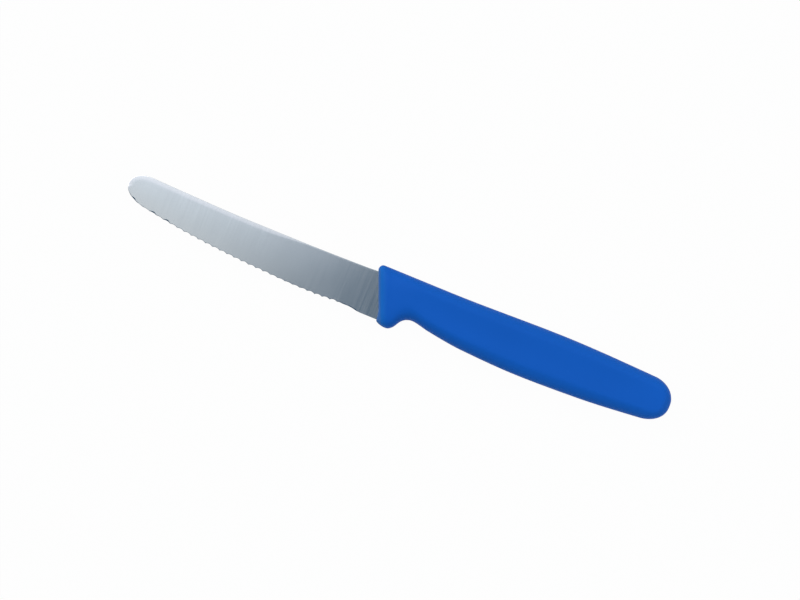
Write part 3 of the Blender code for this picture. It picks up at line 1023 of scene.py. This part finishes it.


# Materials

# Distances behind the handle's front between which the plastic turns paler: a painted highlight on the
# rounded front
FRONT_SHEEN_BAND = (FRONT_ROUND_LENGTH, FRONT_ROUND_LENGTH / 4)
# Distances behind the front over which the lip's narrow painted highlight fades, palest at the lip
LIP_HIGHLIGHT_BAND = (0.0012, 0.0)

# How far a finish varies in brightness and in roughness, and the range that a noise mostly keeps to
PLASTIC_SHADES = (0.95, 1.05)
PLASTIC_WEAR = (-0.04, 0.05)
STEEL_SHADES = (0.975, 1.02)
STEEL_WEAR = (-0.02, 0.03)
NOISE_RANGE = (0.3, 0.7)

# The hollows against the blade's faces: brighter by this share, and less rough by this much
HOLLOW_SHADE = 1.06
HOLLOW_GLOSS = 0.02


def new_material(name, colour, roughness, metallic):
    """A material and its node tree, with the plain numbers on the shader's own sockets."""
    material = bpy.data.materials.new(name)
    material.use_nodes = True
    tree = material.node_tree
    shader = tree.nodes["Principled BSDF"]
    feed(tree, shader, {"Base Color": (*colour, 1.0), "Roughness": roughness, "Metallic": metallic})
    return material, tree, shader


def feed(tree, node, inputs):
    """Gives each named or numbered input its plain value, or links it to another node's output."""
    for name, value in inputs.items():
        if isinstance(value, bpy.types.NodeSocket):
            tree.links.new(value, node.inputs[name])
        else:
            node.inputs[name].default_value = value


def add_node(tree, kind, inputs=None, **settings):
    node = tree.nodes.new(kind)
    for name, value in settings.items():
        setattr(node, name, value)
    feed(tree, node, inputs or {})
    return node


def add_noise(tree, scale, detail=3.0, stretch=(1.0, 1.0, 1.0)):
    """Noise on object coordinates. scale is in features per metre, stretched per axis."""
    place = add_node(tree, "ShaderNodeTexCoord").outputs["Object"]
    stretched = add_node(tree, "ShaderNodeMapping", {"Vector": place, "Scale": stretch})
    inputs = {"Vector": stretched.outputs["Vector"], "Scale": scale, "Detail": detail}
    return add_node(tree, "ShaderNodeTexNoise", inputs).outputs["Fac"]


def ramp(tree, value, start, end, low=0.0, high=1.0, smooth=True):
    """Runs from low, where the value is start, to high, where it is end."""
    inputs = {"Value": value, "From Min": start, "From Max": end, "To Min": low, "To Max": high}
    rise = "SMOOTHSTEP" if smooth else "LINEAR"
    return add_node(tree, "ShaderNodeMapRange", inputs, interpolation_type=rise).outputs["Result"]


def spread(tree, noise, low=0.0, high=1.0):
    """Maps the range that a noise mostly keeps to onto a range of numbers."""
    return ramp(tree, noise, *NOISE_RANGE, low, high, smooth=False)


def blend(tree, factor, first, second):
    """Mixes two colours, each a plain colour or another node's output."""
    inputs = {"Factor": factor}
    for name, colour in (("A", first), ("B", second)):
        inputs[name] = colour if isinstance(colour, bpy.types.NodeSocket) else (*colour, 1.0)
    return add_node(tree, "ShaderNodeMix", inputs, data_type="RGBA").outputs["Result"]


def add_bump(tree, height, distance, strength, before=None):
    inputs = {"Height": height, "Distance": distance, "Strength": strength}
    if before:
        inputs["Normal"] = before
    return add_node(tree, "ShaderNodeBump", inputs).outputs["Normal"]


def brighter(colour, share):
    return tuple(clamp(channel * share) for channel in colour)


def uneven_colour(tree, noise, colour, shades):
    """Lets the noise vary a colour between two shares of its brightness."""
    darker, lighter = (brighter(colour, share) for share in shades)
    return blend(tree, spread(tree, noise), darker, lighter)


def uneven_gloss(tree, noise, roughness, wear):
    """Lets the noise vary the roughness by what is added to it at either end."""
    return spread(tree, noise, *(roughness + change for change in wear))


def behind_front(tree):
    """Distance behind the slanted front of the handle."""
    place = add_node(tree, "ShaderNodeTexCoord").outputs["Object"]
    offset = add_node(tree, "ShaderNodeVectorMath", {0: place, 1: KNIFE_ORIGIN}, operation="SUBTRACT")
    backwards = (math.cos(FRONT_SLANT), math.sin(FRONT_SLANT), 0.0)
    inputs = {0: offset.outputs["Vector"], 1: backwards}
    return add_node(tree, "ShaderNodeVectorMath", inputs, operation="DOT_PRODUCT").outputs["Value"]


def blue_plastic(handle):
    """Satin polypropylene: a very fine mould grain, slightly uneven gloss, and a rounded front and lip
    painted paler as highlights.
    """
    material, tree, shader = new_material("blue_plastic", handle.colour, handle.roughness, metallic=0.0)
    flow = add_noise(tree, scale=45.0, detail=2.0, stretch=(0.35, 1.0, 1.0))
    plain = uneven_colour(tree, flow, handle.colour, PLASTIC_SHADES)
    distance = behind_front(tree)
    # Painted highlight: the plastic turns paler towards the rounded front
    paler = blend(tree, ramp(tree, distance, *FRONT_SHEEN_BAND), plain, handle.front_sheen_colour)
    # Painted highlight: the narrow band at the lip is painted palest, as if its edge caught the light
    colour = blend(tree, ramp(tree, distance, *LIP_HIGHLIGHT_BAND), paler, handle.lip_highlight_colour)
    wear = add_noise(tree, scale=260.0, detail=4.0)
    gloss = uneven_gloss(tree, wear, handle.roughness, PLASTIC_WEAR)
    grain = add_bump(tree, add_noise(tree, scale=5200.0, detail=2.0), distance=0.00002, strength=0.35)
    dents = add_noise(tree, scale=90.0, detail=1.0)
    sinks = add_bump(tree, dents, distance=0.00006, strength=0.25, before=grain)
    feed(tree, shader, {"Base Color": colour, "Roughness": gloss, "Normal": sinks})
    feed(tree, shader, {"Specular IOR Level": 0.05})
    return material


def steel_finish(name, colour, roughness, grain_pitch, grain_depth, anisotropy):
    """Stainless steel with grinding lines across the blade, softened by polishing."""
    material, tree, shader = new_material(name, colour, roughness, metallic=1.0)
    lines = add_noise(tree, 1.0 / grain_pitch, detail=3.0, stretch=(1.0, 0.012, 0.012))
    long_lines = add_noise(tree, 0.3 / grain_pitch, detail=2.0, stretch=(1.0, 0.02, 0.02))
    cloud = add_noise(tree, scale=70.0, detail=3.0)
    shade = uneven_colour(tree, cloud, colour, STEEL_SHADES)
    gloss = uneven_gloss(tree, long_lines, roughness, STEEL_WEAR)
    fine = add_bump(tree, lines, grain_depth, strength=0.25)
    waves = add_noise(tree, scale=40.0, detail=1.0, stretch=(1.0, 0.6, 1.0))
    wavy = add_bump(tree, waves, distance=0.00002, strength=0.12, before=fine)
    tangent = add_node(tree, "ShaderNodeTangent", direction_type="UV_MAP", uv_map="grain")
    feed(tree, shader, {"Base Color": shade, "Roughness": gloss, "Normal": wavy})
    feed(tree, shader, {"Tangent": tangent.outputs["Tangent"], "Anisotropic": anisotropy})
    return material


def polished_steel(blade):
    """Finish of the blade's faces and its spine."""
    grain = {"grain_pitch": 0.00016, "grain_depth": 0.0000004, "anisotropy": 0.25}
    return steel_finish("polished_steel", blade.steel_colour, blade.roughness, **grain)


def ground_steel(blade):
    """Brighter and sharper finish of the hollows between the teeth."""
    grain = {"grain_pitch": 0.00012, "grain_depth": 0.000001, "anisotropy": 0.5}
    colour = brighter(blade.steel_colour, HOLLOW_SHADE)
    return steel_finish("ground_steel", colour, blade.roughness - HOLLOW_GLOSS, **grain)


def combine(tree, operation, first, second):
    return add_node(tree, "ShaderNodeMath", {0: first, 1: second}, operation=operation).outputs["Value"]


def seen_directly(tree):
    """1 for what the camera sees, also mirrored or through glass, and 0 for light on dull surfaces."""
    rays = add_node(tree, "ShaderNodeLightPath")
    mirrored = combine(tree, "MAXIMUM", rays.outputs["Is Glossy Ray"], rays.outputs["Is Transmission Ray"])
    return combine(tree, "MAXIMUM", rays.outputs["Is Camera Ray"], mirrored)


def floor_finish(stage):
    """Pale floor that camera and steel see nearly white, and that still takes the knife's shadow."""
    colour = stage.floor_colour
    material, tree, shader = new_material("studio_floor", colour, FLOOR_ROUGHNESS, metallic=0.0)
    feed(tree, shader, {"Specular IOR Level": 0.0})
    share = combine(tree, "MULTIPLY", seen_directly(tree), FLOOR_GLOW)
    glow = add_node(tree, "ShaderNodeEmission", {"Color": (1.0, 1.0, 1.0, 1.0), "Strength": 1.0})
    inputs = {0: share, 1: shader.outputs["BSDF"], 2: glow.outputs["Emission"]}
    mix = add_node(tree, "ShaderNodeMixShader", inputs)
    feed(tree, tree.nodes["Material Output"], {"Surface": mix.outputs["Shader"]})
    return material


# Stage


def add_floor(stage):
    mesh = bmesh.new()
    bmesh.ops.create_grid(mesh, x_segments=1, y_segments=1, size=stage.floor_size / 2)
    bmesh.ops.translate(mesh, verts=mesh.verts, vec=(0.0, 0.0, -FLOOR_GAP))
    floor = add_mesh("floor", mesh, [floor_finish(stage)])


def add_softbox(name, place, size, power):
    """A soft lamp that faces the frame's origin."""
    lamp = bpy.data.lights.new(name, "AREA")
    lamp.shape = "RECTANGLE"
    lamp.size, lamp.size_y = size
    lamp.energy = power
    holder = add_object(name, lamp)
    holder.location = place
    holder.rotation_euler = (-holder.location).to_track_quat("-Z", "Y").to_euler()


# The tent's colour by direction, from the edge's side (-1) through straight up (0) to the spine's side (1)
TENT_COLOURS = (
    (-1.0, (0.90, 0.91, 0.90)),
    (-0.12, (0.94, 0.97, 0.95)),
    (-0.06, (0.93, 0.985, 1.00)),
    (-0.02, (0.98, 1.09, 1.15)),
    (0.05, (1.16, 1.22, 1.29)),
    (0.15, (1.30, 1.33, 1.38)),
    (0.45, (1.00, 1.05, 1.10)),
    (0.75, (0.50, 0.54, 0.60)),
    (1.0, (0.90, 0.90, 0.90)),
)
TIP_GLOW = (1.21, 1.15, 1.20)
DARK_ROOM = (0.02, 0.085, 0.16)
GREY_WALL = (0.34, 0.36, 0.40)
WHITE_WALL = (1.0, 1.0, 1.0)
DIM_EDGE_WALL = (0.40, 0.88, 0.46)
DIM_SPINE_WALL = (0.20, 0.44, 0.10)

# Directions between which one part of the sky gives way to the next: along the knife for the tent's tip
# and its glow, across it for the tent's sides and the dim walls, and up for the room and its walls
TENT_TIP = (-0.020, -0.112)
TENT_SLANT = 0.20
GLOW_REACH = (-0.27, -0.45)
TENT_EDGE_SIDE = (-0.45, -0.22)
TENT_SPINE_SIDE = (0.20, 0.45)
DIM_ACROSS = (-0.3, 0.3)
ROOM_TO_GREY = (0.72, 0.45)
GREY_TO_WALL = (0.42, 0.20)


def tent_colour(tree, across):
    """Colour of the tent by its direction across the knife."""
    share = ramp(tree, across, -1.0, 1.0, smooth=False)
    node = add_node(tree, "ShaderNodeValToRGB", {"Fac": share})
    while len(node.color_ramp.elements) < len(TENT_COLOURS):
        node.color_ramp.elements.new(0.5)
    for stop, (direction, colour) in zip(node.color_ramp.elements, TENT_COLOURS):
        stop.position = (direction + 1) / 2
        stop.color = (*colour, 1.0)
    return node.outputs["Color"]


def add_sky():
    """A light tent that is open above the handle.

    The tent is bright beyond the blade's tip and beyond the spine, and its colour shifts a little across
    the knife. It is brightest far beyond the tip. The opening shows a dark room, whose walls turn grey and
    then white towards the floor. The plastic is lit as if they were dim down there."""
    world = bpy.data.worlds.new("studio")
    bpy.context.scene.world = world
    world.use_nodes = True
    tree = world.node_tree
    direction = add_node(tree, "ShaderNodeTexCoord").outputs["Generated"]
    axes = add_node(tree, "ShaderNodeSeparateXYZ", {"Vector": direction})
    along, across, up = axes.outputs["X"], axes.outputs["Y"], axes.outputs["Z"]
    slanted = combine(tree, "SUBTRACT", along, combine(tree, "MULTIPLY", across, TENT_SLANT))
    beyond_tip = ramp(tree, slanted, *TENT_TIP, smooth=False)
    beyond_tip = combine(tree, "MULTIPLY", beyond_tip, ramp(tree, across, *TENT_EDGE_SIDE))
    covered = combine(tree, "MAXIMUM", beyond_tip, ramp(tree, across, *TENT_SPINE_SIDE))
    room = blend(tree, ramp(tree, up, *ROOM_TO_GREY), DARK_ROOM, GREY_WALL)
    tent = blend(tree, ramp(tree, along, *GLOW_REACH), tent_colour(tree, across), TIP_GLOW)
    dim_wall = blend(tree, ramp(tree, across, *DIM_ACROSS), DIM_EDGE_WALL, DIM_SPINE_WALL)
    wall = blend(tree, seen_directly(tree), dim_wall, WHITE_WALL)
    dome = blend(tree, ramp(tree, up, *GREY_TO_WALL), blend(tree, covered, room, tent), wall)
    feed(tree, tree.nodes["Background"], {"Color": dome})


def add_camera(stage):
    """Straight above the knife, turned so that the blade points to the upper left."""
    camera = bpy.data.cameras.new("camera")
    camera.lens = stage.lens
    camera.sensor_width = SENSOR_WIDTH
    camera.clip_start = 0.01
    camera.clip_end = 20.0
    holder = add_object("camera", camera)
    distance = VIEW_WIDTH * stage.lens / SENSOR_WIDTH
    holder.location = KNIFE_ORIGIN + Vector((*VIEW_CENTRE, distance))
    holder.rotation_euler = (0.0, 0.0, VIEW_ROLL)
    bpy.context.scene.camera = holder


class KNIFE_OT_blade(bpy.types.Operator):
    """Grinds the blade with its wavy edge and its hidden tang"""

    bl_idname = "breakfast_knife.blade"
    bl_label = "Blade"
    bl_options = {"REGISTER", "UNDO"}

    def execute(self, context):
        blade = context.scene.knife.blade
        finishes = [polished_steel(blade), ground_steel(blade)]
        piece = add_piece("steel_blade", blade_mesh(blade), finishes)
        cut(piece, hole_pins("hole_cutter", LOCK_HOLE_RADIUS))
        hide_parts("blade")
        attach(piece, "root")
        return {"FINISHED"}


class KNIFE_OT_handle(bpy.types.Operator):
    """Moulds the plastic handle round the tang"""

    bl_idname = "breakfast_knife.handle"
    bl_label = "Handle"
    bl_options = {"REGISTER", "UNDO"}

    def execute(self, context):
        knife = context.scene.knife
        seat = seat_cutter(knife.blade, knife.handle.clearance)
        cut(seat, hole_pins("peg_cutter", LOCK_HOLE_RADIUS - knife.handle.clearance))
        mesh = handle_mesh(knife.handle, knife.blade.thickness)
        piece = add_piece("moulded_handle", mesh, [blue_plastic(knife.handle)])
        cut(piece, seat)
        piece.data.set_sharp_from_angle(angle=SHARP_CORNER)
        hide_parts("handle")
        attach(piece, "root")
        return {"FINISHED"}


class KNIFE_OT_stage(bpy.types.Operator):
    """Sets the floor, the lights and the camera"""

    bl_idname = "breakfast_knife.stage"
    bl_label = "Stage"
    bl_options = {"REGISTER", "UNDO"}

    def execute(self, context):
        stage = context.scene.knife.stage
        add_floor(stage)
        add_sky()
        add_softbox("key_light", KEY_PLACE, KEY_SIZE, stage.key_power)
        add_softbox("fill_light", FILL_PLACE, FILL_SIZE, stage.fill_power)
        add_camera(stage)
        context.scene.view_settings.view_transform = "Standard"
        return {"FINISHED"}


class KNIFE_PT_panel(bpy.types.Panel):
    """Lists the knife's steps and sizes"""

    bl_idname = "KNIFE_PT_panel"
    bl_label = "Breakfast Knife"
    bl_space_type = "VIEW_3D"
    bl_region_type = "UI"
    bl_category = "Knife"

    def draw(self, context):
        knife = context.scene.knife
        for operator, settings in (
            (KNIFE_OT_blade, knife.blade),
            (KNIFE_OT_handle, knife.handle),
            (KNIFE_OT_stage, knife.stage),
        ):
            box = self.layout.box()
            box.operator(operator.bl_idname)
            for name in settings.__annotations__:
                box.prop(settings, name)


CLASSES = (
    BladeSettings,
    HandleSettings,
    StageSettings,
    KnifeSettings,
    KNIFE_OT_blade,
    KNIFE_OT_handle,
    KNIFE_OT_stage,
    KNIFE_PT_panel,
)


def register():
    for item in CLASSES:
        bpy.utils.register_class(item)
    bpy.types.Scene.knife = PointerProperty(type=KnifeSettings)


def unregister():
    del bpy.types.Scene.knife
    for item in reversed(CLASSES):
        bpy.utils.unregister_class(item)


def main():
    register()
    bpy.ops.breakfast_knife.blade()
    bpy.ops.breakfast_knife.handle()
    bpy.ops.breakfast_knife.stage()


if __name__ == "__main__":
    main()
